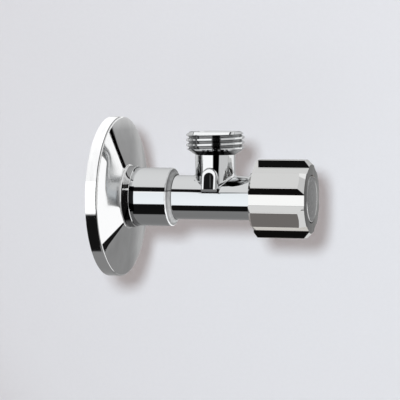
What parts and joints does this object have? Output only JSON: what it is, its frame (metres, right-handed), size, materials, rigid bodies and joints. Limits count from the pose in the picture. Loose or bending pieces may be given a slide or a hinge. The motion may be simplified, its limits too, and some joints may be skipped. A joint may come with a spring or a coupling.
{
  "type": "angle stop valve",
  "caption": "Chrome angle stop valve with a wall rosette, a threaded wall inlet, a threaded outlet at right angles and a fluted turning knob.",
  "frame": {"origin": "where the valve axis meets the finished wall, in the plane of the rosette's rear edge", "axes": "+X out of the wall along the valve axis towards the knob, +Z along the outlet axis, out of the outlet"},
  "size_m": [0.0809, 0.0576, 0.0576],
  "materials": {
    "chrome_brass": "polished chrome plating over brass",
    "rosette_chrome": "polished chrome plated sheet, slightly softer reflections",
    "knob_chrome": "polished chrome plated knob",
    "cap_satin": "fine satin chrome disc with a polished rim",
    "brass": "turned brass",
    "seal_rubber": "black sealing rubber",
    "fibre_seal": "red-brown fibre gasket",
    "steel": "bright stainless steel"
  },
  "bodies": {
    "valve": {"valve_body": "chrome_brass", "bonnet": "brass", "bonnet_gasket": "fibre_seal"},
    "rosette": {"wall_escutcheon": "rosette_chrome"},
    "washer_unit": {"washer_carrier": "brass", "carrier_snap_ring": "steel", "seat_washer": "seal_rubber", "washer_screw": "steel"},
    "knob_and_spindle": {"knob": "knob_chrome", "knob_spline_insert": "brass", "spindle": "brass", "spindle_o_rings": "seal_rubber", "handle_screw": "steel", "screw_lock_washer": "steel", "index_cap": "cap_satin"}
  },
  "joints": [
    {"name": "rosette_slide", "type": "slide", "parent": "valve", "child": "rosette", "axis": [1, 0, 0], "range_m": [0, 0.0125]},
    {"name": "washer_lift", "type": "slide", "parent": "valve", "child": "washer_unit", "axis": [1, 0, 0], "range_m": [0, 0.0038]},
    {"name": "knob_turn", "type": "hinge", "parent": "washer_unit", "child": "knob_and_spindle", "pos_m": [0.064, 0, 0], "axis": [1, 0, 0], "range_deg": [0, 900]}
  ],
  "couplings": [
    {"joint": "washer_lift", "follows": "knob_turn", "m_per_rad": 0.00023873}
  ]
}
